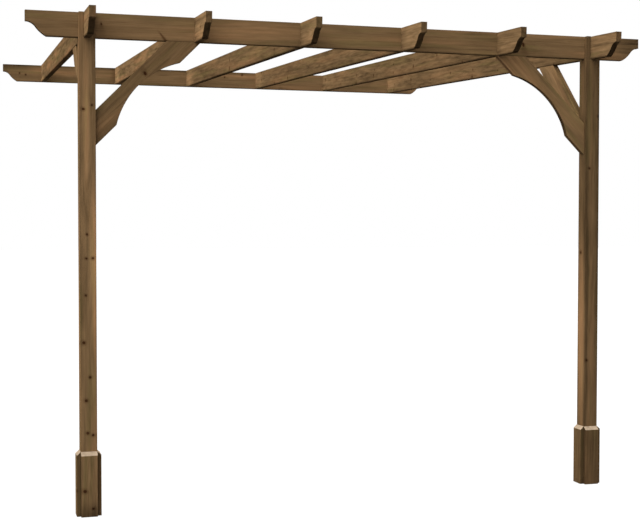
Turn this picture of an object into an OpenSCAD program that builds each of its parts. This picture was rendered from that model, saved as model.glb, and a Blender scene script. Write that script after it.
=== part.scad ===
// Lean-to timber pergola: two posts and a front beam carry six rafters, which run back
// and slightly up to a plate on the wall. Units are millimetres, +Z is up, +Y points to
// the wall, and the origin is the middle of the wall plate's back face.

/* [Overall] */
// Distance between the centre lines of the two posts
post_spacing = 3000; // [2200:50:4200]
// Height of the post tops and of the front beam above the ground
post_height = 2700; // [2200:20:3300]
// Front face of the front beam to the front face of the wall plate
frame_depth = 3640; // [2400:20:4600]
// How much higher the wall plate sits than the front beam
fall = 165; // [60:5:300]

/* [Boards] */
// Depth of the beam, plate, rafter and brace boards
board_depth = 134; // [110:2:180]
// Thickness of the same boards
board_thick = 34; // [24:1:44]

/* [Posts] */
// Side of the square posts
post_side = 88; // [76:1:120]

/* [Front beam and wall plate] */
// Length of the front beam beyond each post's centre line
beam_overhang = 320; // [220:10:500]
// Length of the wall plate beyond each end rafter's centre line
plate_overhang = 320; // [220:10:500]

/* [Rafters] */
// Number of rafters, spread evenly from post to post
rafter_count = 6; // [4:1:8]
// Length of the rafters in front of the front beam
rafter_overhang = 325; // [220:5:500]

/* [Ogee ends] */
// Height of the flat face that is left above the ogee cut
end_face = 57; // [50:1:80]
// Length of the ogee cut along the board
ogee_length = 110; // [90:1:150]
// Radius of the hollow at the outer end of the cut
cove_radius = 66; // [50:1:80]
// Angle through which the hollow turns before the round begins
cove_turn = 54; // [35:1:60]

/* [Braces] */
// Reach of a brace's outer edge along the beam and down the post
brace_reach = 574; // [420:5:700]
// Run of the straight part at each end of a brace's outer edge
brace_straight = 113; // [80:1:140]
// Depth of the hollow in the middle of the outer edge
brace_hollow = 69; // [40:1:80]

/* [Boots] */
// Height of the boards that wrap the foot of a post
boot_height = 350; // [200:5:500]
// Thickness of the boot boards
boot_thick = 22; // [15:1:30]
// Height of the sloping cut on top of a boot board
boot_slope = 20; // [10:1:40]

/* [Fits] */
// Side clearance of every slot and halving
slot_gap = 0.2; // [0:0.1:1]

/* [Hidden] */
$fn = 96;

rafter_pitch = post_spacing / (rafter_count - 1);
plate_front = -board_thick;
beam_front = plate_front - frame_depth;
beam_mid = beam_front + board_thick / 2;
plate_top = board_depth / 2;
beam_top = plate_top - fall;
beam_bottom = beam_top - board_depth;
ground = beam_top - post_height;

// The rafters' top edge runs from the beam's centre line to the plate's front top corner.
rafter_slope = atan(fall / (plate_front - beam_mid));
rafter_run = plate_front - beam_front + rafter_overhang;
halving = board_depth / 2;
slot_width = board_thick + 2 * slot_gap;
far = 3 * board_depth;

// The ogee's round starts where the hollow ends and leans as steeply there.
cove_end = cove_radius * [sin(cove_turn), 1 - cos(cove_turn)];
round_chord = [ogee_length, board_depth - end_face] - cove_end;
round_end = 2 * atan(round_chord.y / round_chord.x) - cove_turn;
round_radius = round_chord.x / (sin(cove_turn) - sin(round_end));
ARC_STEPS = 8;

// A chord across the brace's hollow, and the circle that cuts it.
brace_cut = board_depth * sqrt(2);
hollow_chord = (brace_reach - 2 * brace_straight) * sqrt(2);
hollow_radius = (pow(hollow_chord / 2, 2) + pow(brace_hollow, 2)) / (2 * brace_hollow);
hollow_centre = brace_reach / 2 + (hollow_radius - brace_hollow) / sqrt(2);

SIDES = ["left", "right"];
FACES = ["front", "back", "outer", "inner"];

// Centre line of a post along X.
function post_x(side) = (side == "left" ? -1 : 1) * post_spacing / 2;

function rafter_x(i) = (i - 1) * rafter_pitch - post_spacing / 2;

// From the end face's lower corner, inwards and down to the board's bottom edge.
function ogee_points() = concat(
    [for (k = [0:ARC_STEPS])
        let (turn = cove_turn * k / ARC_STEPS)
        [cove_radius * sin(turn), -end_face - cove_radius * (1 - cos(turn))]],
    [for (k = [1:ARC_STEPS])
        let (turn = cove_turn + (round_end - cove_turn) * k / ARC_STEPS)
        [cove_end.x + round_radius * (sin(cove_turn) - sin(turn)),
         -end_face - cove_end.y - round_radius * (cos(turn) - cos(cove_turn))]]
);

// A board's side, top edge on the X axis, with an ogee at X = 0 and a square far end.
module ogee_board(length) {
    polygon(concat([[0, 0]], ogee_points(), [[length, -board_depth], [length, 0]]));
}

module double_ogee_board(length) {
    intersection() {
        ogee_board(length);
        translate([length, 0]) mirror([1, 0]) ogee_board(length);
    }
}

// Stands a shape drawn in X and Z up at a front face, with a board's thickness behind it.
module along_x(front, thick = board_thick) {
    translate([0, front + thick, 0]) rotate([90, 0, 0]) linear_extrude(thick) children();
}

// Stands a shape drawn in Y and Z up, centred on a distance along X.
module along_y(middle, thick = board_thick) {
    translate([middle - thick / 2, 0, 0]) rotate([90, 0, 90]) linear_extrude(thick) children();
}

// The side of a rafter, drawn in Y and Z, before it is cut to length and halved.
module rafter_side() {
    translate([beam_mid, beam_top]) rotate(rafter_slope)
        translate([-rafter_overhang - board_thick / 2, 0])
            ogee_board(rafter_run + far);
}

module front_beam() {
    length = post_spacing + 2 * beam_overhang;
    color("saddlebrown")
        difference() {
            along_x(beam_front)
                translate([-length / 2, beam_top]) double_ogee_board(length);
            for (i = [1:rafter_count])
                translate([rafter_x(i) - slot_width / 2, beam_front - far, beam_top - halving])
                    cube([slot_width, 2 * far, far]);
        }
}

module wall_plate() {
    length = post_spacing + 2 * plate_overhang;
    color("saddlebrown")
        along_x(plate_front)
            translate([-length / 2, plate_top]) double_ogee_board(length);
}

module rafter(i) {
    color("peru")
        along_y(rafter_x(i))
            difference() {
                rafter_side();
                translate([plate_front, -far]) square(2 * far);
                translate([beam_mid - slot_width / 2, beam_top - halving - far])
                    square([slot_width, far]);
            }
}

// The beam and the end rafter cross in the top of the post, between four corner prongs.
module post(side) {
    color("sienna")
        difference() {
            translate([post_x(side) - post_side / 2, beam_mid - post_side / 2, ground])
                cube([post_side, post_side, post_height]);
            translate([post_x(side) - far, beam_mid - slot_width / 2, beam_bottom])
                cube([2 * far, slot_width, far]);
            along_y(post_x(side), slot_width)
                translate([beam_mid, beam_top]) rotate(rafter_slope)
                    translate([-far, -board_depth]) square(2 * far);
        }
}

// A brace's side in the corner between a post (X = 0) and a beam (Y = 0, rising by slope).
module brace_side(slope) {
    inner = brace_reach - brace_cut;
    intersection() {
        difference() {
            polygon([[-far, -far - inner], [-far, -far - brace_reach],
                     [brace_reach + far, far], [brace_reach + far, brace_reach + far - inner]]);
            translate([hollow_centre, -hollow_centre]) circle(hollow_radius);
        }
        polygon([[0, 0], [0, -far - brace_reach], [far + brace_reach, -far - brace_reach],
                 [far + brace_reach, (far + brace_reach) * tan(slope)]]);
    }
}

// Under the front beam, from the post's inner face towards the middle.
module side_brace(side) {
    color("saddlebrown")
        along_x(beam_front)
            translate([post_x(side), beam_bottom])
                mirror([side == "left" ? 0 : 1, 0])
                    translate([post_side / 2, 0]) brace_side(0);
}

// Under the end rafter, from the post's back face towards the wall.
module back_brace(side) {
    rise = post_side / 2 * tan(rafter_slope) - board_depth / cos(rafter_slope);
    color("saddlebrown")
        along_y(post_x(side))
            translate([beam_mid + post_side / 2, beam_top + rise])
                brace_side(rafter_slope);
}

// One board on one face of a post's foot, its sloping top falling away from the post.
module boot_board(side, face) {
    outwards = side == "left" ? 180 : 0;
    turn = face == "front" ? -90 : face == "back" ? 90 : face == "outer" ? outwards : outwards + 180;
    color("burlywood")
        translate([post_x(side), beam_mid, ground])
            rotate([0, 0, turn])
                translate([post_side / 2, post_side / 2, 0])
                    rotate([90, 0, 0])
                        linear_extrude(post_side)
                            polygon([[0, 0], [boot_thick, 0],
                                     [boot_thick, boot_height - boot_slope], [0, boot_height]]);
}

for (side = SIDES)
    post(side);
front_beam();
wall_plate();
for (i = [1:rafter_count])
    rafter(i);
for (side = SIDES)
    side_brace(side);
for (side = SIDES)
    back_brace(side);
for (side = SIDES, face = FACES)
    boot_board(side, face);
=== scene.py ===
"""Lean-to timber pergola: the eased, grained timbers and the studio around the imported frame.

Lengths are metres in the row frame: +X right, +Y into the wall, +Z up, origin on the wall.
"""

import math
from dataclasses import dataclass

import bmesh
import bpy
import numpy as np
from bpy.props import FloatProperty, FloatVectorProperty, IntProperty, PointerProperty
from mathutils import Matrix, Vector


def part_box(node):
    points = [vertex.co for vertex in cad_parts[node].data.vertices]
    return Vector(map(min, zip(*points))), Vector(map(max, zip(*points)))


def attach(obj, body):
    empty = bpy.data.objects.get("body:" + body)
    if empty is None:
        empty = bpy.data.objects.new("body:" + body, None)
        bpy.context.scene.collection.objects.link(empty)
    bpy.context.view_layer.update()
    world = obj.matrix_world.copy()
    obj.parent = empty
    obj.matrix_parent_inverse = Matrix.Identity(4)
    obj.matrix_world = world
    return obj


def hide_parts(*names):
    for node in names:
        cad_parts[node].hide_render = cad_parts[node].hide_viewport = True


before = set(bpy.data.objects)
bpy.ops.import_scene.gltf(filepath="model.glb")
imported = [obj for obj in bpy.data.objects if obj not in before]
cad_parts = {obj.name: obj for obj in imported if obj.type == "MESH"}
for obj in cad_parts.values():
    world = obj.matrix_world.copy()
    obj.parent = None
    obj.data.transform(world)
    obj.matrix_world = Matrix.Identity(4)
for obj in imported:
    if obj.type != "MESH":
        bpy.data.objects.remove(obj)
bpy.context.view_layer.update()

bl_info = {
    "name": "Lean-to Pergola",
    "version": (1, 0, 0),
    "blender": (4, 5, 0),
    "location": "View3D > Sidebar > Pergola",
    "description": "Builds the timbers of an open lean-to pergola around its packed frame",
    "category": "Object",
}

SIDES = ("left", "right")
BOOT_FACES = ("front", "inner", "back", "outer")
RAFTERS = sorted(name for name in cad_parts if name.startswith("rafter_"))
UP = Vector((0, 0, 1))
RIGHT = Vector((1, 0, 0))
BACK = Vector((0, 1, 0))
# The camera's place from the front of the left post's foot, and how far it is turned to the
# left, tipped up and rolled to the left.
EYE = Vector((-0.639, -6.628, 1.581))
EYE_TURNS = (-0.2845, -0.0315, 0.0011)
# Turn, height and softness of the light from behind on the right.
FILL_ANGLES = [math.radians(angle) for angle in (225, 35, 60)]
FLOOR_REACH = 60.0
FLOOR_THICK = 0.05
# Edges are eased from this turn of their faces on, as long edges where they run this straight.
SHARP = math.radians(20)
LENGTHWISE = 0.98


def srgb(*channels):
    """A display colour, 0 to 255 a channel, as the linear colour that shaders take."""
    shares = [channel / 255 for channel in channels]
    return [c / 12.92 if c <= 0.04045 else ((c + 0.055) / 1.055) ** 2.4 for c in shares]


# Settings


class TimberSizes(bpy.types.PropertyGroup):
    """Sizes of the cuts and of the eased edges."""

    arris: FloatProperty(
        name="Arris", description="Radius of the eased long edges of a board",
        default=0.003, min=0.0005, max=0.01, unit="LENGTH")
    post_arris: FloatProperty(
        name="Post arris", description="Radius of the eased long edges of a post",
        default=0.005, min=0.0005, max=0.015, unit="LENGTH")
    cut_share: FloatProperty(
        name="Cut arris share", description="Radius of a cut's edges, as a share of the arris",
        default=0.35, min=0.05, max=1.0, subtype="FACTOR")
    end_face: FloatProperty(
        name="End face", description="Height of the flat face above an ogee cut",
        default=0.057, min=0.02, max=0.1, unit="LENGTH")
    ogee_length: FloatProperty(
        name="Ogee length", description="Length of the ogee cut along the board",
        default=0.110, min=0.05, max=0.2, unit="LENGTH")
    cove_radius: FloatProperty(
        name="Cove radius", description="Radius of the hollow at the outer end of the cut",
        default=0.066, min=0.03, max=0.1, unit="LENGTH")
    cove_turn: FloatProperty(
        name="Cove turn", description="Angle through which the hollow turns",
        default=math.radians(54), min=0.3, max=1.2, subtype="ANGLE")
    brace_straight: FloatProperty(
        name="Brace straight", description="Run of the straight part at each end of a brace",
        default=0.113, min=0.05, max=0.2, unit="LENGTH")
    brace_hollow: FloatProperty(
        name="Brace hollow", description="Depth of the hollow in a brace's outer edge",
        default=0.069, min=0.02, max=0.1, unit="LENGTH")
    boot_slope: FloatProperty(
        name="Boot slope", description="Height of the sloping cut on top of a boot board",
        default=0.020, min=0.005, max=0.05, unit="LENGTH")
    slot_gap: FloatProperty(
        name="Slot gap", description="Side clearance of every slot and halving",
        default=0.0002, min=0.0, max=0.001, unit="LENGTH")
    arc_steps: IntProperty(
        name="Arc steps", description="Straight steps in each arc of an ogee cut",
        default=18, min=4, max=48)


class WoodColours(bpy.types.PropertyGroup):
    """Colours of the treated softwood."""

    early: FloatVectorProperty(
        name="Early wood", description="Soft, paler part of each growth ring",
        default=srgb(124, 98, 68), subtype="COLOR")
    late: FloatVectorProperty(
        name="Late wood", description="Hard, darker part of each growth ring",
        default=srgb(96, 74, 48), subtype="COLOR")
    warm: FloatVectorProperty(
        name="Warm patches", description="Where the treatment took less and orange shows",
        default=srgb(143, 106, 72), subtype="COLOR")
    olive: FloatVectorProperty(
        name="Olive patches", description="Where the treatment shows greenish",
        default=srgb(116, 98, 62), subtype="COLOR")
    knot: FloatVectorProperty(
        name="Knots", description="Heart of a knot",
        default=srgb(63, 39, 21), subtype="COLOR")
    cut: FloatVectorProperty(
        name="Fresh cut", description="Sloping top cut of a boot board",
        default=srgb(160, 141, 119), subtype="COLOR")
    end_tone: FloatProperty(
        name="End grain tone", description="Brightness of end grain beside that of the faces",
        default=0.53, min=0.1, max=1.0, subtype="FACTOR")
    # Painted shade: darkens cuts that face down, such as the ogees' undersides, beyond the end grain
    # tone.
    down_cut_shade: FloatProperty(
        name="Under cut tone", description="Brightness of cuts that face down, beside end grain",
        default=0.4, min=0.1, max=1.0, subtype="FACTOR")


class StudioSettings(bpy.types.PropertyGroup):
    """The floor, lamps and camera."""

    floor: FloatVectorProperty(
        name="Floor", description="Colour of the studio floor",
        default=(0.10, 0.10, 0.10), subtype="COLOR")
    floor_glow: FloatProperty(
        name="Floor white", description="White that the camera sees on the floor, shadows aside",
        default=0.92, min=0.0, max=1.0)
    key_power: FloatProperty(
        name="Key light", description="Strength of the soft light from the left and in front",
        default=5.4, min=0.0, max=20.0)
    key_turn: FloatProperty(
        name="Key turn", description="How far left of straight ahead the key light stands",
        default=math.radians(60), min=0.0, max=math.pi, subtype="ANGLE")
    key_height: FloatProperty(
        name="Key height", description="Angle of the key light above the floor",
        default=math.radians(48), min=0.0, max=math.pi / 2, subtype="ANGLE")
    key_softness: FloatProperty(
        name="Key softness", description="Angle that the key light fills",
        default=math.radians(92), min=0.0, max=math.pi, subtype="ANGLE")
    fill_power: FloatProperty(
        name="Fill light", description="Strength of the soft light from behind on the right",
        default=3.6, min=0.0, max=20.0)
    sky: FloatProperty(
        name="Sky", description="Strength of the even light from all round",
        default=0.27, min=0.0, max=3.0)
    lens: FloatProperty(
        name="Lens", description="Focal length of the camera on a 36 mm wide sensor",
        default=68.58, min=20.0, max=200.0, unit="CAMERA")


# Places and sizes


class Layout:
    """Places and sizes of the timbers, worked out from the frame's boxes."""

    def __init__(self, sizes):
        beam_low, beam_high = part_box("front_beam")
        plate_low, plate_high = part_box("wall_plate")
        self.sizes = sizes
        self.thick = beam_high.y - beam_low.y
        self.depth = beam_high.z - beam_low.z
        self.beam_front = beam_low.y
        self.beam_mid = (beam_low.y + beam_high.y) / 2
        self.beam_top, self.beam_bottom = beam_high.z, beam_low.z
        self.plate_front, self.plate_top = plate_low.y, plate_high.z
        self.slope = math.atan((self.plate_top - self.beam_top) / (self.plate_front - self.beam_mid))
        self.rafter_x = [sum(c.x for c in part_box(name)) / 2 for name in RAFTERS]
        self.slot = self.thick + 2 * sizes.slot_gap
        self.halving = self.depth / 2
        post_low, post_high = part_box("post_left")
        self.post_side = post_high.x - post_low.x
        self.post_x = {side: sum(c.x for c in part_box(f"post_{side}")) / 2 for side in SIDES}
        self.ground = post_low.z
        brace_low, brace_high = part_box("brace_left_side")
        self.brace_reach = brace_high.x - brace_low.x
        boot_low, boot_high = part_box("boot_left_front")
        self.boot_thick = boot_high.y - boot_low.y
        self.boot_height = boot_high.z - boot_low.z
        # The square-cut front end leans back below its top corner, which is the lowest Y.
        self.rafter_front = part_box(RAFTERS[0])[0].y

    def rafter_top(self, y):
        """Height of the rafters' top edge at a distance along Y."""
        return self.beam_top + (y - self.beam_mid) * math.tan(self.slope)

    def rafter_bottom(self, y):
        return self.rafter_top(y) - self.depth / math.cos(self.slope)


# Outlines


def ogee_curve(layout):
    """From an end face's lower corner, inwards and down to the bottom edge: (along, up) points."""
    sizes = layout.sizes
    turn, radius = sizes.cove_turn, sizes.cove_radius
    cove_end = Vector((math.sin(turn), 1 - math.cos(turn))) * radius
    chord = Vector((sizes.ogee_length, layout.depth - sizes.end_face)) - cove_end
    end_turn = 2 * math.atan2(chord.y, chord.x) - turn
    round_radius = chord.x / (math.sin(turn) - math.sin(end_turn))
    shares = [k / sizes.arc_steps for k in range(sizes.arc_steps + 1)]
    points = []
    for a in (turn * share for share in shares):
        points.append((radius * math.sin(a), -sizes.end_face - radius * (1 - math.cos(a))))
    for a in (turn + (end_turn - turn) * share for share in shares[1:]):
        points.append((cove_end.x + round_radius * (math.sin(turn) - math.sin(a)),
                       -sizes.end_face - cove_end.y - round_radius * (math.cos(a) - math.cos(turn))))
    return points


def double_ogee_board(layout, left, right, top, notches=()):
    """Outline in X and Z of a board with an ogee at both ends and notches in its top edge."""
    curve = ogee_curve(layout)
    points = [(left, top)]
    points += [(left + u, top + v) for u, v in curve]
    points += [(right - u, top + v) for u, v in reversed(curve)]
    points.append((right, top))
    half = layout.slot / 2
    for x in sorted(notches, reverse=True):
        points += [(x + half, top), (x + half, top - layout.halving),
                   (x - half, top - layout.halving), (x - half, top)]
    return points


def rafter_outline(layout):
    """Outline in Y and Z of a rafter: ogee in front, halved over the beam, plumb at the plate."""
    front = layout.rafter_front - layout.beam_mid
    along = Vector((math.cos(layout.slope), math.sin(layout.slope)))
    across = Vector((-along.y, along.x))
    start = Vector((layout.beam_mid, layout.beam_top)) + along * front / along.x

    def place(u, v):
        return tuple(start + along * u + across * v)

    half = layout.slot / 2
    wall_front, wall_back = layout.beam_mid - half, layout.beam_mid + half
    seat = layout.beam_top - layout.halving
    points = [place(0, 0)] + [place(u, v) for u, v in ogee_curve(layout)]
    points += [(wall_front, layout.rafter_bottom(wall_front)), (wall_front, seat),
               (wall_back, seat), (wall_back, layout.rafter_bottom(wall_back)),
               (layout.plate_front, layout.rafter_bottom(layout.plate_front)),
               (layout.plate_front, layout.rafter_top(layout.plate_front))]
    return points


def brace_outline(layout, slope):
    """Outline of a brace in the corner of a post (0 along) and a beam (0 up, rising by slope)."""
    sizes = layout.sizes
    reach = layout.brace_reach
    inner = reach - layout.depth * math.sqrt(2)
    first = Vector((sizes.brace_straight, sizes.brace_straight - reach))
    last = Vector((reach - sizes.brace_straight, -sizes.brace_straight))
    chord = (last - first).length
    radius = ((chord / 2) ** 2 + sizes.brace_hollow ** 2) / (2 * sizes.brace_hollow)
    outward = Vector((1, -1)).normalized()
    centre = (first + last) / 2 + outward * (radius - sizes.brace_hollow)
    half_angle = math.asin(chord / 2 / radius)
    middle = math.atan2(-outward.y, -outward.x)
    steps = 2 * sizes.arc_steps
    arc = [centre + radius * Vector((math.cos(a), math.sin(a)))
           for a in (middle + half_angle * (1 - 2 * k / steps) for k in range(steps + 1))]
    stretch = 1 / (1 - math.tan(slope))
    points = [(0, -inner), (0, -reach)] + [tuple(p) for p in arc]
    points += [(reach * stretch, reach * stretch * math.tan(slope)),
               (inner * stretch, inner * stretch * math.tan(slope))]
    return points


# Timber meshes


def frame_matrix(origin, along, up):
    """Row-frame place of a shape drawn along and up, whose thickness runs along x up."""
    through = along.cross(up)
    matrix = Matrix((along, up, through)).transposed().to_4x4()
    matrix.translation = origin
    return matrix


def prism(name, outline, thick, place):
    """A closed board: the outline, counter-clockwise, given its thickness."""
    bm = bmesh.new()
    rings = []
    for w in (0.0, thick):
        rings.append([bm.verts.new(place @ Vector((u, v, w))) for u, v in outline])
    low, high = rings
    bm.faces.new(reversed(low))
    bm.faces.new(high)
    for a in range(len(outline)):
        b = (a + 1) % len(outline)
        bm.faces.new((low[a], low[b], high[b], high[a]))
    mesh = bpy.data.meshes.new(name)
    bm.to_mesh(mesh)
    bm.free()
    return mesh


def new_object(name, data):
    """A mesh, lamp or camera, put in the scene."""
    obj = bpy.data.objects.new(name, data)
    bpy.context.scene.collection.objects.link(obj)
    return obj


def box_object(name, low, high):
    bm = bmesh.new()
    bmesh.ops.create_cube(bm, size=1.0)
    size, middle = Vector(high) - Vector(low), (Vector(high) + Vector(low)) / 2
    for vert in bm.verts:
        vert.co = middle + Vector(c * s for c, s in zip(vert.co, size))
    mesh = bpy.data.meshes.new(name)
    bm.to_mesh(mesh)
    bm.free()
    return new_object(name, mesh)


def weigh_edges(mesh, along, cut_share):
    """Marks the outward edges for easing: long ones in full, those of a cut by a share."""
    bm = bmesh.new()
    bm.from_mesh(mesh)
    layer = bm.edges.layers.float.new("bevel_weight_edge")
    for edge in bm.edges:
        if len(edge.link_faces) == 2 and edge.calc_face_angle_signed() > SHARP:
            direction = (edge.verts[1].co - edge.verts[0].co).normalized()
            edge[layer] = 1.0 if abs(direction.dot(along)) > LENGTHWISE else cut_share
    bm.to_mesh(mesh)
    bm.free()


def evaluated_mesh(obj, name):
    """The object's mesh with its modifiers applied, and the object itself removed."""
    graph = bpy.context.evaluated_depsgraph_get()
    mesh = bpy.data.meshes.new_from_object(
        obj.evaluated_get(graph), preserve_all_data_layers=True, depsgraph=graph)
    mesh.name = name
    bpy.data.objects.remove(obj)
    return mesh


def ease(mesh, along, radius, cut_share):
    """Rounds a timber's outward edges and shades them smoothly into its flat faces."""
    weigh_edges(mesh, along, cut_share)
    for polygon in mesh.polygons:
        polygon.use_smooth = True
    obj = new_object(mesh.name, mesh)
    bevel = obj.modifiers.new("Ease", "BEVEL")
    bevel.width = radius
    bevel.segments = 3
    bevel.limit_method = "WEIGHT"
    bevel.use_clamp_overlap = True
    obj.modifiers.new("Flat faces", "WEIGHTED_NORMAL").keep_sharp = True
    return evaluated_mesh(obj, mesh.name)


def mark_grain(mesh, along, across, start):
    """Gives each point its place in the timber: along the grain, across, and through."""
    points = np.empty(len(mesh.vertices) * 3, np.float32)
    mesh.vertices.foreach_get("co", points)
    turn = np.array((along, across, along.cross(across)))
    local = (points.reshape(-1, 3) - np.array(start)) @ turn.T
    grain = mesh.attributes.new("grain", "FLOAT_VECTOR", "POINT")
    grain.data.foreach_set("vector", local.astype(np.float32).ravel())


def finish_timber(mesh, node, along, across):
    """Makes a mesh the visible piece for a CAD node, with its grain and its wood."""
    low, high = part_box(node)
    mark_grain(mesh, along, across, (low + high) / 2)
    mesh.materials.clear()
    mesh.materials.append(timber_wood(node, along, across))
    piece = new_object(f"{node}_timber", mesh)
    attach(piece, "root")
    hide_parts(node)
    return piece


# Node helpers


def add(tree, kind, inputs=None, out=0, **settings):
    """Adds a node, sets it up, feeds it numbers or sockets, and returns one of its outputs."""
    node = tree.nodes.new(kind)
    for key, value in settings.items():
        setattr(node, key, value)
    for key, value in (inputs or {}).items():
        if isinstance(value, bpy.types.NodeSocket):
            tree.links.new(value, node.inputs[key])
        else:
            node.inputs[key].default_value = value
    return node.outputs[out] if node.outputs else None


def tree_of(values):
    """The node tree of the first socket among the values."""
    return next(value.id_data for value in values if isinstance(value, bpy.types.NodeSocket))


def calc(operation, *values, clamp=False):
    return add(tree_of(values), "ShaderNodeMath", dict(enumerate(values)),
               operation=operation, use_clamp=clamp)


def plus(first, second):
    return calc("ADD", first, second)


def minus(first, second):
    return calc("SUBTRACT", first, second)


def times(first, second):
    return calc("MULTIPLY", first, second)


def vector_calc(operation, *values, out=0):
    return add(tree_of(values), "ShaderNodeVectorMath", dict(enumerate(values)), out=out,
               operation=operation)


def length_of(vector):
    return vector_calc("LENGTH", vector, out=1)


def scaled(vector, factor):
    return add(factor.id_data, "ShaderNodeVectorMath", {0: vector, "Scale": factor}, operation="SCALE")


def smooth_range(value, low, high):
    """0 below low, 1 above high, and a smooth step between."""
    return add(value.id_data, "ShaderNodeMapRange", {"Value": value, "From Min": low, "From Max": high},
               interpolation_type="SMOOTHSTEP")


def mix_colour(factor, first, second):
    return add(factor.id_data, "ShaderNodeMix", {0: factor, 6: first, 7: second}, out=2,
               data_type="RGBA")


def combine(*parts):
    return add(tree_of(parts), "ShaderNodeCombineXYZ", dict(enumerate(parts)))


def separate(vector):
    return add(vector.id_data, "ShaderNodeSeparateXYZ", {0: vector}).node.outputs


# The kind of socket that takes a value. An object stands for its own mesh.
SOCKET_TYPES = {
    int: "NodeSocketInt", float: "NodeSocketFloat", tuple: "NodeSocketVector",
    Vector: "NodeSocketVector", bpy.types.Object: "NodeSocketGeometry",
    bpy.types.Material: "NodeSocketMaterial"}


def new_group(join, inputs, kind="ShaderNodeTree"):
    """A node group with a socket for each input: join takes them and gives the outputs by name."""
    tree = bpy.data.node_groups.new(join.__name__, kind)
    for name, value in inputs.items():
        socket_type = SOCKET_TYPES.get(type(value)) or value.bl_idname
        socket = tree.interface.new_socket(name, in_out="INPUT", socket_type=socket_type)
        if isinstance(value, (int, float)):
            socket.default_value = value
    source = tree.nodes.new("NodeGroupInput")
    outputs = join(tree, **{name: source.outputs[name] for name in inputs})
    for name, socket in outputs.items():
        tree.interface.new_socket(name, in_out="OUTPUT", socket_type=socket.bl_idname)
    add(tree, "NodeGroupOutput", outputs)
    return tree


def use_group(tree, join, **inputs):
    """The outputs of a node group in a shader; the group is made when it is first used."""
    group = bpy.data.node_groups.get(join.__name__) or new_group(join, inputs)
    return add(tree, "ShaderNodeGroup", inputs, node_tree=group).node.outputs


def clear_nodes(owner):
    """The emptied node tree of a new material or world."""
    owner.use_nodes = True
    owner.node_tree.nodes.clear()
    return owner.node_tree


# Wood

# How far the tree's heart leaves the timber's line, across and through, for each metre of it.
STEM_LEAN = (0.0, 0.004, -0.004)
# The slow sway of the stem: waves a metre along it and across it, and how far it goes.
SWAY_ALONG = 1.3
SWAY_ACROSS = 4.0
SWAY_REACH = 0.035
# How fast a branch ends past the pith, how softly rings join round it, and how much they darken.
BRANCH_STOP = 4.0
BRANCH_BLEND = 0.04
BRANCH_HALO = 0.38
RING_WIDTH = 0.0045
RELIEF = 0.0006


def log_place(tree, grain, pith, seed):
    """Where a point of the timber lay in its tree: off the pith, with the stem's own wander."""
    x, y, z = separate(grain)
    place = combine(plus(times(x, SWAY_ALONG), seed), times(y, SWAY_ACROSS), times(z, SWAY_ACROSS))
    wander = add(tree, "ShaderNodeTexNoise", {"Vector": place, "Scale": 1.0, "Detail": 2.0}, out=1)
    wander = vector_calc("SUBTRACT", wander, (0.5, 0.5, 0.5))
    wander = vector_calc("MULTIPLY", wander, (0.0, SWAY_REACH, SWAY_REACH))
    point = vector_calc("SUBTRACT", grain, pith)
    point = vector_calc("SUBTRACT", point, scaled(STEM_LEAN, x))
    point = vector_calc("ADD", point, wander)
    return {"point": point, "growth": length_of(vector_calc("MULTIPLY", point, (0, 1, 1)))}


def knot(tree, point, growth, heart, place, cosine, sine, lean, spread, depth):
    """A branch that left the pith: it bends the rings round itself and marks its own heart."""
    x, y, z = separate(point)
    outward = plus(times(y, cosine), times(z, sine))
    aside = minus(times(z, cosine), times(y, sine))
    ahead = minus(minus(x, place), times(outward, lean))
    away = length_of(combine(ahead, aside, 0.0))
    behind = calc("MAXIMUM", times(outward, -BRANCH_STOP), 0.0)
    branch = calc("DIVIDE", plus(away, behind), spread)
    share = calc("DIVIDE", branch, calc("MAXIMUM", growth, 0.001))
    core = minus(1.0, smooth_range(share, 0.7, 1.15))
    halo = minus(1.0, smooth_range(share, 0.9, 2.6))
    mark = times(calc("MAXIMUM", core, times(halo, BRANCH_HALO)), depth)
    return {"growth": calc("SMOOTH_MIN", growth, branch, BRANCH_BLEND),
            "heart": calc("MAXIMUM", heart, mark)}


def whorls(tree, point, growth, step, shift, branches, spread, chance, seed):
    """Rings of branches at even steps along the stem, a few of them missing."""
    x, y, z = separate(point)
    along = calc("DIVIDE", minus(x, shift), step)
    whorl = calc("FLOOR", plus(along, 0.5))

    def draw(*parts):
        return add(tree, "ShaderNodeTexWhiteNoise", {"Vector": combine(*parts)}, noise_dimensions="3D")

    twist = times(draw(whorl, seed, 0.0), branches)
    angle = calc("DIVIDE", calc("ARCTAN2", z, y), math.tau)
    branch = calc("FLOOR", plus(times(angle, branches), twist))
    around = calc("WRAP", branch, branches, 0.0)
    luck = draw(whorl, around, seed)
    size = draw(around, seed, whorl)
    sway = times(minus(size, 0.5), 0.5)
    centre = plus(plus(branch, 0.5), sway)
    direction = times(calc("DIVIDE", minus(centre, twist), branches), math.tau)
    place = plus(times(plus(whorl, times(sway, 0.12)), step), shift)
    width = times(times(plus(size, 0.5), spread), calc("LESS_THAN", luck, chance))
    growth, heart = use_group(
        tree, knot, point=point, growth=growth, heart=0.0, place=place,
        cosine=calc("COSINE", direction), sine=calc("SINE", direction), lean=0.15,
        spread=plus(width, 0.0005), depth=0.75)
    return {"growth": growth, "heart": heart}


def streak(tree, grain, glow, middle, reach, strength):
    """A long soft patch of the timber, lighter or darker: most took the treatment so, a few are painted
    shade and painted light.
    """
    place = vector_calc("SUBTRACT", grain, middle)
    away = length_of(vector_calc("DIVIDE", place, reach))
    fade = minus(1.0, smooth_range(away, 0.2, 1.1))
    return {"glow": calc("MULTIPLY_ADD", fade, strength, glow)}


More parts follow.
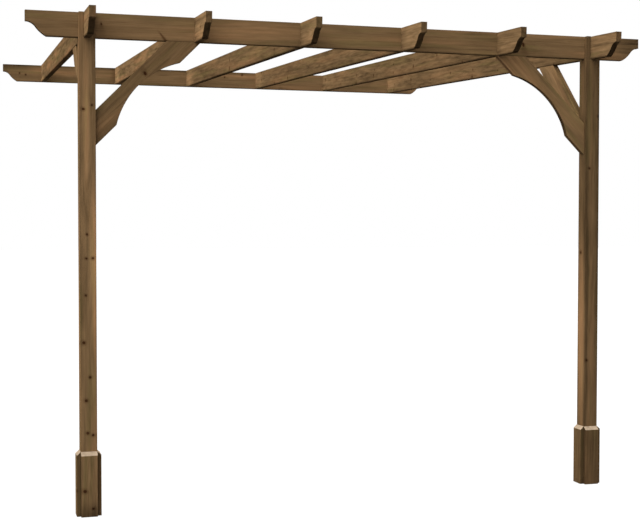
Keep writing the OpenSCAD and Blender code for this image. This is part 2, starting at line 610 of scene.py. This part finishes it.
def treated_softwood(tree, point, growth, heart, pale, shade, glow, seed, warmth, contrast, mottle):
    """Colour, roughness and relief of planed, treated softwood from its place in the log."""
    colours = bpy.context.scene.pergola_colours
    early, late, warm, olive, knot_heart, cut = (
        (*getattr(colours, key), 1.0) for key in ("early", "late", "warm", "olive", "knot", "cut"))
    x, y, z = separate(point)
    shifted = plus(x, seed)

    def streaks(per_along, per_across, shift=0.0, detail=2.0):
        """Noise drawn out along the grain, spread to fill 0 to 1."""
        place = combine(times(shifted, per_along), calc("MULTIPLY_ADD", y, per_across, shift),
                        times(z, per_across))
        noise = add(tree, "ShaderNodeTexNoise", {"Vector": place, "Scale": 1.0, "Detail": detail})
        return add(tree, "ShaderNodeMapRange", {"Value": noise, "From Min": 0.28, "From Max": 0.72})

    pace = add(tree, "ShaderNodeTexNoise", {"W": times(growth, 60.0), "Scale": 1.0, "Detail": 1.0},
               noise_dimensions="1D")
    phase = calc("FRACT", plus(calc("DIVIDE", growth, RING_WIDTH), times(pace, 3.0)))
    late_wood = minus(smooth_range(phase, 0.25, 0.88), smooth_range(phase, 0.9, 1.0))
    patches = streaks(1.0, 14.0)
    hues = streaks(1.6, 22.0, shift=7.0)
    bands = streaks(2.0, 60.0, shift=3.0)
    fibres = streaks(12.0, 420.0, shift=5.0)
    mottles = streaks(6.5, 44.0, shift=11.0, detail=4.0)

    colour = mix_colour(times(late_wood, 0.35), early, late)
    golden = times(smooth_range(patches, 0.4, 1.0), warmth)
    golden = calc("MULTIPLY_ADD", glow, 1.2, golden, clamp=True)
    colour = mix_colour(golden, colour, warm)
    colour = mix_colour(times(smooth_range(hues, 0.5, 1.0), 0.6), colour, olive)
    light = glow
    for layer, share in ((patches, 0.22), (bands, 0.30), (fibres, 0.18)):
        light = plus(light, calc("MULTIPLY_ADD", layer, share, -share / 2))
    light = plus(light, times(minus(mottles, 0.5), mottle))
    light = times(calc("MULTIPLY_ADD", light, contrast, 1.0), shade)
    colour = mix_colour(heart, colour, knot_heart)
    fresh = scaled(cut[:3], calc("MULTIPLY_ADD", mottles, 0.4, 0.8))
    colour = mix_colour(pale, scaled(colour, light), fresh)

    rough = calc("MULTIPLY_ADD", fibres, 0.1, calc("MULTIPLY_ADD", late_wood, -0.08, 0.78))
    height = calc("MULTIPLY_ADD", late_wood, 0.35, times(fibres, 0.65))
    height = calc("MULTIPLY_ADD", heart, -0.6, height)
    return {"colour": colour, "roughness": rough, "height": height}


@dataclass
class Wood:
    """What sets one timber's wood apart."""

    seed: float
    # Where the tree's heart runs, from the timber's middle: across and through.
    pith: tuple = (0.0, -0.05)
    # The rings of branches: step, shift, branches, spread and chance.
    whorls: tuple = ()
    # Single branches, where they leave a face: along, across, through, radius, lean and depth.
    knots: tuple = ()
    # Lighter and darker patches: middle, reach and strength.
    streaks: tuple = ()
    warmth: float = 0.5
    tone: float = 1.0
    contrast: float = 1.0
    mottle: float = 0.25
    # Reach and tone of the wood near both ends; a tone above 1, as on the rafters, is painted light.
    ends: tuple = (0.03, 0.9)
    # Half width, tone near the long edges and painted shade along the lower edge.
    arris: tuple = ()
    # Tone of the narrow long faces: painted shade, on the boots' recessed edges and the braces' edges.
    narrow_face_shade: float = 1.0
    # Whether faces that look up are freshly cut.
    pale: bool = False


def face_knots(through, *places, lean=0.2, depth=1.0):
    """Small knots on one face: (along, across, radius) each."""
    return [(along, across, through, radius, lean, depth) for along, across, radius in places]


# Half the thickness of each kind of timber, and how the long edges of some are darkened; the boards'
# lower edge gets painted shade.
POST_FACE = 0.044
BOARD_FACE = 0.017
BOOT_FACE = 0.011
POST_ARRIS = (0.044, 0.8, 1.0)
BOARD_ARRIS = (0.067, 0.92, 0.5)
WOODS = {
    "post_left": Wood(
        3.0, pith=(0.002, 0.006), warmth=0.6, tone=1.09, contrast=1.2, arris=POST_ARRIS,
        knots=face_knots(
            -POST_FACE, (0.835, -0.029, 0.0085), (0.858, 0.023, 0.007), (0.166, -0.005, 0.006),
            (0.037, -0.01, 0.006), (0.038, 0.022, 0.007), (-0.16, -0.011, 0.006),
            (-0.414, -0.019, 0.009), (-0.6, 0.011, 0.008), (-0.725, -0.012, 0.009),
            (-0.901, -0.006, 0.008), (-0.913, 0.021, 0.007))
        + face_knots(POST_FACE, (0.62, 0.012, 0.009), (-0.05, -0.018, 0.007), (-0.56, 0.015, 0.009))
        + [(0.4, 0.044, 0.01, 0.008, 0.2, 1.0), (-0.42, -0.044, -0.012, 0.008, 0.2, 1.0)],
        streaks=[((0.8, -0.007, -0.044), (0.5, 0.022, 0.05), 0.33),
                 ((0.85, 0.03, -0.044), (0.4, 0.02, 0.05), -0.16),
                 ((0.04, 0.032, -0.044), (0.55, 0.026, 0.05), 0.42),
                 ((-0.95, 0.0, 0.0), (0.32, 0.08, 0.08), -0.22),
                 ((-0.2, 0.01, 0.044), (0.5, 0.025, 0.05), 0.2)]),
    "post_right": Wood(
        17.0, pith=(-0.004, 0.004), warmth=0.3, tone=0.74, contrast=1.2, arris=POST_ARRIS,
        knots=face_knots(-POST_FACE, (0.875, 0.032, 0.009), (0.559, -0.027, 0.006), (-0.6, -0.023, 0.007))
        + face_knots(POST_FACE, (0.3, 0.01, 0.008), (-0.31, -0.02, 0.008))
        + [(0.05, -0.044, 0.012, 0.008, 0.2, 1.0), (-0.7, 0.044, -0.01, 0.008, 0.2, 1.0)],
        # The first is painted light on the post's left face.
        streaks=[((-0.4, -0.044, 0.0), (0.72, 0.02, 0.06), 0.58),
                 ((0.0, -0.034, -0.044), (1.7, 0.02, 0.03), -0.3),
                 ((0.0, 0.036, -0.044), (1.7, 0.024, 0.03), -0.26),
                 ((0.35, 0.005, 0.044), (0.55, 0.03, 0.05), 0.22)]),
    "front_beam": Wood(
        31.0, pith=(0.034, 0.002), tone=0.88, contrast=1.2, mottle=0.18, arris=BOARD_ARRIS,
        streaks=[((0.66, 0.0, 0.017), (0.6, 0.12, 0.05), -0.14),
                 ((0.05, 0.05, 0.017), (0.6, 0.06, 0.05), -0.03),
                 ((-0.76, 0.0, 0.017), (0.34, 0.1, 0.05), 0.08),
                 ((-1.25, -0.03, 0.017), (0.34, 0.06, 0.05), 0.06),
                 # Painted shadow of the end rafter's tip and the right post on the beam's right end.
                 ((1.82, 0.02, 0.017), (0.24, 0.12, 0.05), -0.42)],
        knots=[(-1.063, -0.071, 0.01, 0.011, 0.75, 0.7)]
        + face_knots(BOARD_FACE, (-1.421, 0.018, 0.006), (1.05, 0.012, 0.006))
        + face_knots(-BOARD_FACE, (-0.72, 0.02, 0.008), (0.33, -0.03, 0.007), (1.22, 0.01, 0.008))),
    "wall_plate": Wood(
        47.0, pith=(0.02, -0.03), tone=0.89, ends=(0.06, 0.75), arris=BOARD_ARRIS,
        # Painted shade along the top of the plate's front face.
        streaks=[((-0.6, 0.067, 0.017), (1.6, 0.028, 0.03), -0.42),
                 ((-1.72, 0.045, 0.017), (0.2, 0.05, 0.03), -0.4)],
        knots=face_knots(BOARD_FACE, (-1.689, 0.003, 0.006), (-1.641, -0.007, 0.006),
                         (0.165, 0.051, 0.006), (0.013, 0.028, 0.006), (0.95, -0.02, 0.007))
        + face_knots(-BOARD_FACE, (-0.9, 0.02, 0.008), (0.5, -0.02, 0.007), (1.3, 0.03, 0.008))),
    "brace_left_side": Wood(
        101.0, pith=(0.05, -0.02), warmth=0.35, tone=0.7, contrast=1.2, narrow_face_shade=0.6,
        knots=face_knots(BOARD_FACE, (0.063, 0.087, 0.009))),
    "brace_left_back": Wood(
        107.0, pith=(0.07, 0.03), whorls=(0.43, 0.1, 5.0, 0.1, 0.6), contrast=1.2, narrow_face_shade=0.6),
    "brace_right_side": Wood(
        113.0, pith=(0.1, -0.04), warmth=0.35, tone=0.87, contrast=1.2, narrow_face_shade=0.6,
        streaks=[((0.3, 0.0, 0.0), (0.26, 0.14, 0.05), 0.36)]),
    "brace_right_back": Wood(
        119.0, pith=(0.06, 0.03), whorls=(0.43, 0.05, 5.0, 0.1, 0.6), tone=1.1, contrast=1.2,
        mottle=0.4, narrow_face_shade=0.6),
}
# Each rafter's shift and share of knots, mottling, warmth, tone and tone near the ends. The low tone is
# painted shade along the rafters' length, and the raised tone near both ends is painted light.
RAFTER_LOOKS = (
    (0.12, 0.4, 0.4, 0.9, 0.76, 1.36), (0.31, 0.45, 0.5, 0.8, 0.85, 1.46),
    (0.22, 0.35, 0.34, 0.5, 0.74, 1.5), (0.02, 0.5, 0.44, 0.5, 0.7, 1.54),
    (-0.287, 0.85, 0.5, 0.35, 0.71, 1.26), (-0.356, 0.85, 0.46, 0.4, 0.72, 1.28))
for number, (shift, share, mottle, warmth, tone, end) in enumerate(RAFTER_LOOKS, 1):
    WOODS[f"rafter_{number}"] = Wood(
        53.0 + 6 * number, pith=(0.012 - 0.005 * number, 0.045), warmth=warmth, tone=tone,
        contrast=1.3, mottle=mottle, ends=(0.42, end), arris=BOARD_ARRIS,
        whorls=(0.43, shift, 7.0, 0.11, share))
for number, name in enumerate(f"boot_{side}_{face}" for side in SIDES for face in BOOT_FACES):
    WOODS[name] = Wood(
        150.0 + 5 * number, pith=(0.01 * (number % 3), -0.03), warmth=0.3, tone=0.78, contrast=1.2,
        mottle=0.35, whorls=(0.37, 0.1 - 0.05 * number, 5.0, 0.1, 0.6), narrow_face_shade=0.55, pale=True)
boot = WOODS["boot_left_front"]
boot.whorls = ()
boot.knots = face_knots(BOOT_FACE, (-0.035, 0.025, 0.01), (-0.13, -0.02, 0.007))
boot.streaks = [((-0.17, 0.0, 0.0), (0.09, 0.1, 0.1), -0.3)]
WOODS["boot_right_front"].tone = 0.46
WOODS["boot_right_inner"].tone = 0.57


def timber_wood(node, along, across):
    """The material of one timber, from its entry in WOODS, made once."""
    name = f"{node}_wood"
    if name in bpy.data.materials:
        return bpy.data.materials[name]
    wood = WOODS[node]
    low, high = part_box(node)
    half_length = sum(abs(a) * s for a, s in zip(along, high - low)) / 2
    material = bpy.data.materials.new(name)
    tree = clear_nodes(material)
    grain = add(tree, "ShaderNodeAttribute", out=1, attribute_name="grain")
    point, growth = use_group(tree, log_place, grain=grain, pith=(0.0, *wood.pith), seed=wood.seed)
    heart = 0.0
    if wood.whorls:
        step, shift, branches, spread, chance = wood.whorls
        growth, heart = use_group(
            tree, whorls, point=point, growth=growth, step=step, shift=shift, branches=branches,
            spread=spread, chance=chance, seed=wood.seed)
    for x, y, z, radius, lean, depth in wood.knots:
        out_y, out_z = y - wood.pith[0], z - wood.pith[1]
        reach = math.hypot(out_y, out_z)
        growth, heart = use_group(
            tree, knot, point=point, growth=growth, heart=heart, place=x - lean * reach,
            cosine=out_y / reach, sine=out_z / reach, lean=lean, spread=radius / reach, depth=depth)
    glow = 0.0
    for middle, reach, strength in wood.streaks:
        glow = use_group(tree, streak, grain=grain, glow=glow, middle=middle, reach=reach,
                         strength=strength)["glow"]

    normal = add(tree, "ShaderNodeNewGeometry", out=1)
    height = separate(normal)[2]
    x, y, z = separate(grain)
    # How squarely a face looks along the grain, and out of the timber's narrow sides.
    end_on, edge_on = (calc("ABSOLUTE", vector_calc("DOT_PRODUCT", normal, tuple(axis), out=1))
                       for axis in (along, across))
    # Painted shade on cuts that look down, such as the ogees, and the wood near both ends, whose raised
    # tone on the rafters is painted light.
    down_cut_shade_mask = times(smooth_range(end_on, 0.05, 0.4), smooth_range(height, -0.1, -0.5))
    reach, tone = wood.ends
    near_end = smooth_range(calc("ABSOLUTE", x), half_length - reach, half_length - 0.3 * reach)
    colours = bpy.context.scene.pergola_colours
    tones = [(smooth_range(end_on, 0.35, 0.85), colours.end_tone),
             # Painted shade on the narrow long faces.
             (smooth_range(edge_on, 0.35, 0.85), wood.narrow_face_shade),
             (down_cut_shade_mask, colours.down_cut_shade), (near_end, tone)]
    if wood.arris:
        half_width, tone, lower_edge_shade = wood.arris
        for side in (y, z) if half_width == POST_FACE else (y,):
            edge = smooth_range(calc("ABSOLUTE", side), 0.7 * half_width, 1.1 * half_width)
            tones.append((edge, tone))
        # Painted shade along the lower edge and the underside.
        tones.append((smooth_range(y, -0.9 * half_width, -half_width), lower_edge_shade))
    shade = wood.tone
    for factor, tone in tones:
        shade = times(shade, calc("MULTIPLY_ADD", factor, tone - 1.0, 1.0))
    colour, rough, relief = use_group(
        tree, treated_softwood, point=point, growth=growth, heart=heart,
        pale=smooth_range(height, 0.35, 0.6) if wood.pale else 0.0, shade=shade, glow=glow,
        seed=wood.seed, warmth=wood.warmth, contrast=wood.contrast, mottle=wood.mottle)
    bump = add(tree, "ShaderNodeBump", {"Height": relief, "Strength": 0.5, "Distance": RELIEF})
    shader = add(tree, "ShaderNodeBsdfPrincipled", {
        "Base Color": colour, "Roughness": rough, "Normal": bump, "Specular IOR Level": 0.0})
    add(tree, "ShaderNodeOutputMaterial", {"Surface": shader})
    return material


# Timbers


def build_board(layout, node, outline, place, along, across):
    """One board from its outline to a finished piece."""
    mesh = prism(node, outline, layout.thick, place)
    mesh = ease(mesh, along, layout.sizes.arris, layout.sizes.cut_share)
    return finish_timber(mesh, node, along, across)


class PERGOLA_OT_posts(bpy.types.Operator):
    """Make the two square posts, slotted for the front beam and the end rafters"""

    bl_idname = "pergola.posts"
    bl_label = "Posts"

    def execute(self, context):
        layout = Layout(context.scene.pergola_sizes)
        half = layout.post_side / 2
        reach = 2 * layout.depth
        for side in SIDES:
            x, y = layout.post_x[side], layout.beam_mid
            left, top = x - layout.slot / 2, layout.beam_top + reach
            post = box_object(f"post_{side}", (x - half, y - half, layout.ground),
                              (x + half, y + half, layout.beam_top))
            front, back = y - reach, y + reach
            sides = [(front, layout.rafter_bottom(front)),
                     (back, layout.rafter_bottom(back)), (back, top), (front, top)]
            cutters = (
                box_object("beam_slot", (x - reach, y - layout.slot / 2, layout.beam_bottom),
                           (x + reach, y + layout.slot / 2, top)),
                new_object("rafter_slot", prism("rafter_slot", sides, layout.slot,
                                                frame_matrix((left, 0, 0), BACK, UP))))
            for cutter in cutters:
                modifier = post.modifiers.new("Slot", "BOOLEAN")
                modifier.operation = "DIFFERENCE"
                modifier.solver = "EXACT"
                modifier.object = cutter
            mesh = evaluated_mesh(post, f"post_{side}")
            for cutter in cutters:
                bpy.data.objects.remove(cutter)
            mesh = ease(mesh, UP, layout.sizes.post_arris, layout.sizes.cut_share)
            finish_timber(mesh, f"post_{side}", UP, RIGHT)
        return {"FINISHED"}


class PERGOLA_OT_beam(bpy.types.Operator):
    """Make the front beam, notched for the rafters, and the wall plate"""

    bl_idname = "pergola.beam"
    bl_label = "Front beam and wall plate"

    def execute(self, context):
        layout = Layout(context.scene.pergola_sizes)
        for node, notches in (("front_beam", layout.rafter_x), ("wall_plate", ())):
            low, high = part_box(node)
            outline = double_ogee_board(layout, low.x, high.x, high.z, notches)
            place = frame_matrix((0, low.y + layout.thick, 0), RIGHT, UP)
            build_board(layout, node, outline, place, RIGHT, UP)
        return {"FINISHED"}


def numbered_copies(tree, points, timber, wood, turn=(0.0, 0.0, 0.0)):
    """A copy of the timber on each point, numbered from 0, made real and given its wood."""
    number = add(tree, "GeometryNodeInputIndex")
    copies = add(tree, "GeometryNodeInstanceOnPoints",
                 {"Points": points, "Instance": timber, "Rotation": turn})
    copies = add(tree, "GeometryNodeStoreNamedAttribute",
                 {"Geometry": copies, "Name": "number", "Value": number},
                 data_type="INT", domain="INSTANCE")
    copies = add(tree, "GeometryNodeRealizeInstances", {"Geometry": copies})
    return {"copies": add(tree, "GeometryNodeSetMaterial", {"Geometry": copies, "Material": wood})}


def timber_row(tree, timber, count, pitch, first, wood):
    """Geometry Nodes: copies of the given timber in a row along X."""
    step = add(tree, "ShaderNodeCombineXYZ", {0: pitch})
    start = add(tree, "ShaderNodeCombineXYZ", {0: first})
    line = add(tree, "GeometryNodeMeshLine", {"Count": count, "Start Location": start, "Offset": step})
    return numbered_copies(tree, line, timber, wood)


def run_group(obj, join, **inputs):
    """Puts a Geometry Nodes group on an object, its first input being the object's own mesh."""
    tree = new_group(join, inputs, "GeometryNodeTree")
    modifier = obj.modifiers.new(tree.name, "NODES")
    modifier.node_group = tree
    for item in tree.interface.items_tree:
        if item.in_out == "INPUT" and inputs[item.name] is not obj:
            modifier[item.identifier] = inputs[item.name]


def split_numbered(mesh, count):
    """One mesh for each value of the number that a row gives its timbers."""
    numbers = np.empty(len(mesh.vertices), np.int32)
    mesh.attributes["number"].data.foreach_get("value", numbers)
    parts = []
    for wanted in range(count):
        part = mesh.copy()
        bm = bmesh.new()
        bm.from_mesh(part)
        bm.verts.ensure_lookup_table()
        bmesh.ops.delete(bm, geom=[v for v in bm.verts if numbers[v.index] != wanted], context="VERTS")
        bm.to_mesh(part)
        bm.free()
        part.attributes.remove(part.attributes["number"])
        parts.append(part)
    bpy.data.meshes.remove(mesh)
    return parts


class PERGOLA_OT_rafters(bpy.types.Operator):
    """Make the rafters as a row of copies, each with its own wood"""

    bl_idname = "pergola.rafters"
    bl_label = "Rafters"

    def execute(self, context):
        layout = Layout(context.scene.pergola_sizes)
        along = Vector((0, math.cos(layout.slope), math.sin(layout.slope)))
        across = Vector((0, -along.z, along.y))
        blank = prism("rafter", rafter_outline(layout), layout.thick,
                      frame_matrix((-layout.thick / 2, 0, 0), BACK, UP))
        blank = ease(blank, along, layout.sizes.arris, layout.sizes.cut_share)
        row = new_object("rafter_row", blank)
        count = len(RAFTERS)
        pitch = (layout.rafter_x[-1] - layout.rafter_x[0]) / (count - 1)
        wood = timber_wood(RAFTERS[0], along, across)
        run_group(row, timber_row, timber=row, count=count, pitch=pitch,
                  first=layout.rafter_x[0], wood=wood)
        for name, mesh in zip(RAFTERS, split_numbered(evaluated_mesh(row, "rafter_row"), count)):
            mesh.name = name
            finish_timber(mesh, name, along, across)
        return {"FINISHED"}


class PERGOLA_OT_braces(bpy.types.Operator):
    """Make the four arched knee braces"""

    bl_idname = "pergola.braces"
    bl_label = "Braces"

    def execute(self, context):
        layout = Layout(context.scene.pergola_sizes)
        half, thick = layout.post_side / 2, layout.thick
        diagonal = math.sqrt(0.5)
        y = layout.beam_mid + half
        for side in SIDES:
            x, inward = layout.post_x[side], 1 if side == "left" else -1
            under_beam = (x + inward * half, layout.beam_mid + inward * thick / 2, layout.beam_bottom)
            under_rafter = (x - thick / 2, y, layout.rafter_bottom(y))
            for way, slope, corner, level in (("side", 0.0, under_beam, RIGHT * inward),
                                              ("back", layout.slope, under_rafter, BACK)):
                place = frame_matrix(corner, level, UP)
                build_board(layout, f"brace_{side}_{way}", brace_outline(layout, slope), place,
                            (level + UP) * diagonal, (UP - level) * diagonal)
        return {"FINISHED"}


def boards_round_posts(tree, board, left_foot, foot_step, post_count, sides, wood):
    """Geometry Nodes: the given board set against each side of a square post, on two posts."""
    feet = add(tree, "GeometryNodeMeshLine", {
        "Count": times(post_count, sides), "Start Location": (0, 0, 0), "Offset": (0, 0, 0)})
    share = calc("DIVIDE", add(tree, "GeometryNodeInputIndex"), sides)
    place = vector_calc("ADD", left_foot, scaled(foot_step, calc("FLOOR", share)))
    feet = add(tree, "GeometryNodeSetPosition", {"Geometry": feet, "Position": place})
    return numbered_copies(tree, feet, board, wood, turn=combine(0.0, 0.0, times(share, math.tau)))


class PERGOLA_OT_boots(bpy.types.Operator):
    """Make the boards that wrap the foot of each post, with pale sloping tops"""

    bl_idname = "pergola.boots"
    bl_label = "Boots"

    def execute(self, context):
        layout = Layout(context.scene.pergola_sizes)
        half, thick, height = layout.post_side / 2, layout.boot_thick, layout.boot_height
        # The board in front of a post at the origin: its side, then its width along X.
        outline = [(0, height), (-thick, height - layout.sizes.boot_slope), (-thick, 0), (0, 0)]
        place = frame_matrix((-half, -half, 0), BACK, UP)
        board = prism("boot", outline, layout.post_side, place)
        board = ease(board, UP, layout.sizes.arris, layout.sizes.cut_share)
        row = new_object("boot_boards", board)
        wood = timber_wood("boot_left_front", UP, (-BACK).cross(UP))
        feet = [Vector((layout.post_x[side], layout.beam_mid, layout.ground)) for side in SIDES]
        run_group(row, boards_round_posts, board=row, left_foot=feet[0], foot_step=feet[1] - feet[0],
                  post_count=len(feet), sides=len(BOOT_FACES), wood=wood)
        # Turned a quarter left each time, the boards face front, right, back and left.
        faces = {"left": BOOT_FACES, "right": ("front", "outer", "back", "inner")}
        names = [f"boot_{side}_{face}" for side in SIDES for face in faces[side]]
        outwards = [-BACK, RIGHT, BACK, -RIGHT] * len(SIDES)
        parts = split_numbered(evaluated_mesh(row, "boot_boards"), len(names))
        for name, mesh, outward in zip(names, parts, outwards):
            mesh.name = name
            finish_timber(mesh, name, UP, outward.cross(UP))
        return {"FINISHED"}


# Studio


def soft_sun(name, turn, height, softness, power):
    """Even, soft light from one side: turn is counted from straight ahead towards the left."""
    lamp = bpy.data.lights.new(name, "SUN")
    lamp.energy = power
    lamp.angle = softness
    level = math.cos(height)
    towards = Vector((math.sin(turn) * level, math.cos(turn) * level, -math.sin(height)))
    new_object(name, lamp).rotation_euler = towards.to_track_quat("-Z", "Y").to_euler()


def seen_rays(tree):
    """1 on rays that the camera, a reflection or glass looks along, 0 on rays that only light."""
    rays = tree.nodes.new("ShaderNodeLightPath").outputs
    seen = calc("MAXIMUM", rays["Is Camera Ray"], rays["Is Glossy Ray"])
    return calc("MAXIMUM", seen, rays["Is Transmission Ray"])


def studio_world(sky):
    """White to the camera and to reflections, and an even, weak light to everything else."""
    world = bpy.data.worlds.new("studio")
    bpy.context.scene.world = world
    tree = clear_nodes(world)
    soft = add(tree, "ShaderNodeBackground", {"Color": (1, 1, 1, 1), "Strength": sky})
    white = add(tree, "ShaderNodeBackground", {"Color": (1, 1, 1, 1), "Strength": 1.0})
    both = add(tree, "ShaderNodeMixShader", {0: seen_rays(tree), 1: soft, 2: white})
    add(tree, "ShaderNodeOutputWorld", {"Surface": both})


def studio_floor(ground, colour, glow):
    """A wide floor that shows white and keeps a faint, soft shadow of the posts."""
    floor = box_object("studio_floor", (-FLOOR_REACH, -FLOOR_REACH, ground - FLOOR_THICK),
                       (FLOOR_REACH, FLOOR_REACH, ground))
    material = bpy.data.materials.new("studio_floor")
    tree = clear_nodes(material)
    matt = add(tree, "ShaderNodeBsdfDiffuse", {"Color": (*colour, 1.0)})
    white = add(tree, "ShaderNodeEmission", {"Strength": times(seen_rays(tree), glow)})
    both = add(tree, "ShaderNodeAddShader", {0: matt, 1: white})
    add(tree, "ShaderNodeOutputMaterial", {"Surface": both})
    floor.data.materials.append(material)
    floor.visible_diffuse = False


def studio_camera(place, yaw, pitch, roll, lens):
    """Looks along +Y, turned to the left by yaw, up by pitch and rolled to the left."""
    data = bpy.data.cameras.new("camera")
    data.sensor_fit = "HORIZONTAL"
    data.sensor_width = 36.0
    data.lens = lens
    data.clip_end = 500.0
    camera = new_object("camera", data)
    turn = (Matrix.Rotation(yaw, 4, "Z") @ Matrix.Rotation(math.pi / 2 + pitch, 4, "X")
            @ Matrix.Rotation(roll, 4, "Z"))
    camera.matrix_world = Matrix.Translation(place) @ turn
    bpy.context.scene.camera = camera


class PERGOLA_OT_stage(bpy.types.Operator):
    """Make the floor, the lamps and the camera"""

    bl_idname = "pergola.stage"
    bl_label = "Stage"

    def execute(self, context):
        studio = context.scene.pergola_studio
        layout = Layout(context.scene.pergola_sizes)
        foot = Vector((layout.post_x["left"], layout.beam_front, layout.ground))
        studio_camera(foot + EYE, *EYE_TURNS, studio.lens)
        soft_sun("key", studio.key_turn, studio.key_height, studio.key_softness, studio.key_power)
        soft_sun("fill", *FILL_ANGLES, studio.fill_power)
        studio_world(studio.sky)
        studio_floor(layout.ground, studio.floor, studio.floor_glow)
        context.scene.view_settings.view_transform = "Standard"
        return {"FINISHED"}


class PERGOLA_PT_panel(bpy.types.Panel):
    """The pergola's settings and builders"""

    bl_label = "Pergola"
    bl_idname = "PERGOLA_PT_panel"
    bl_space_type = "VIEW_3D"
    bl_region_type = "UI"
    bl_category = "Pergola"

    def draw(self, context):
        scene = context.scene
        for title, group in (("Sizes", scene.pergola_sizes), ("Wood", scene.pergola_colours),
                             ("Studio", scene.pergola_studio)):
            box = self.layout.box()
            box.label(text=title)
            for key in type(group).__annotations__:
                box.prop(group, key)
        for builder in BUILDERS:
            self.layout.operator(builder.bl_idname)


BUILDERS = (PERGOLA_OT_posts, PERGOLA_OT_beam, PERGOLA_OT_rafters, PERGOLA_OT_braces,
            PERGOLA_OT_boots, PERGOLA_OT_stage)
CLASSES = (TimberSizes, WoodColours, StudioSettings, *BUILDERS, PERGOLA_PT_panel)


def register():
    for cls in CLASSES:
        bpy.utils.register_class(cls)
    bpy.types.Scene.pergola_sizes = PointerProperty(type=TimberSizes)
    bpy.types.Scene.pergola_colours = PointerProperty(type=WoodColours)
    bpy.types.Scene.pergola_studio = PointerProperty(type=StudioSettings)


def unregister():
    del bpy.types.Scene.pergola_studio
    del bpy.types.Scene.pergola_colours
    del bpy.types.Scene.pergola_sizes
    for cls in reversed(CLASSES):
        bpy.utils.unregister_class(cls)


def main():
    register()
    bpy.ops.pergola.posts()
    bpy.ops.pergola.beam()
    bpy.ops.pergola.rafters()
    bpy.ops.pergola.braces()
    bpy.ops.pergola.boots()
    bpy.ops.pergola.stage()


if __name__ == "__main__":
    main()
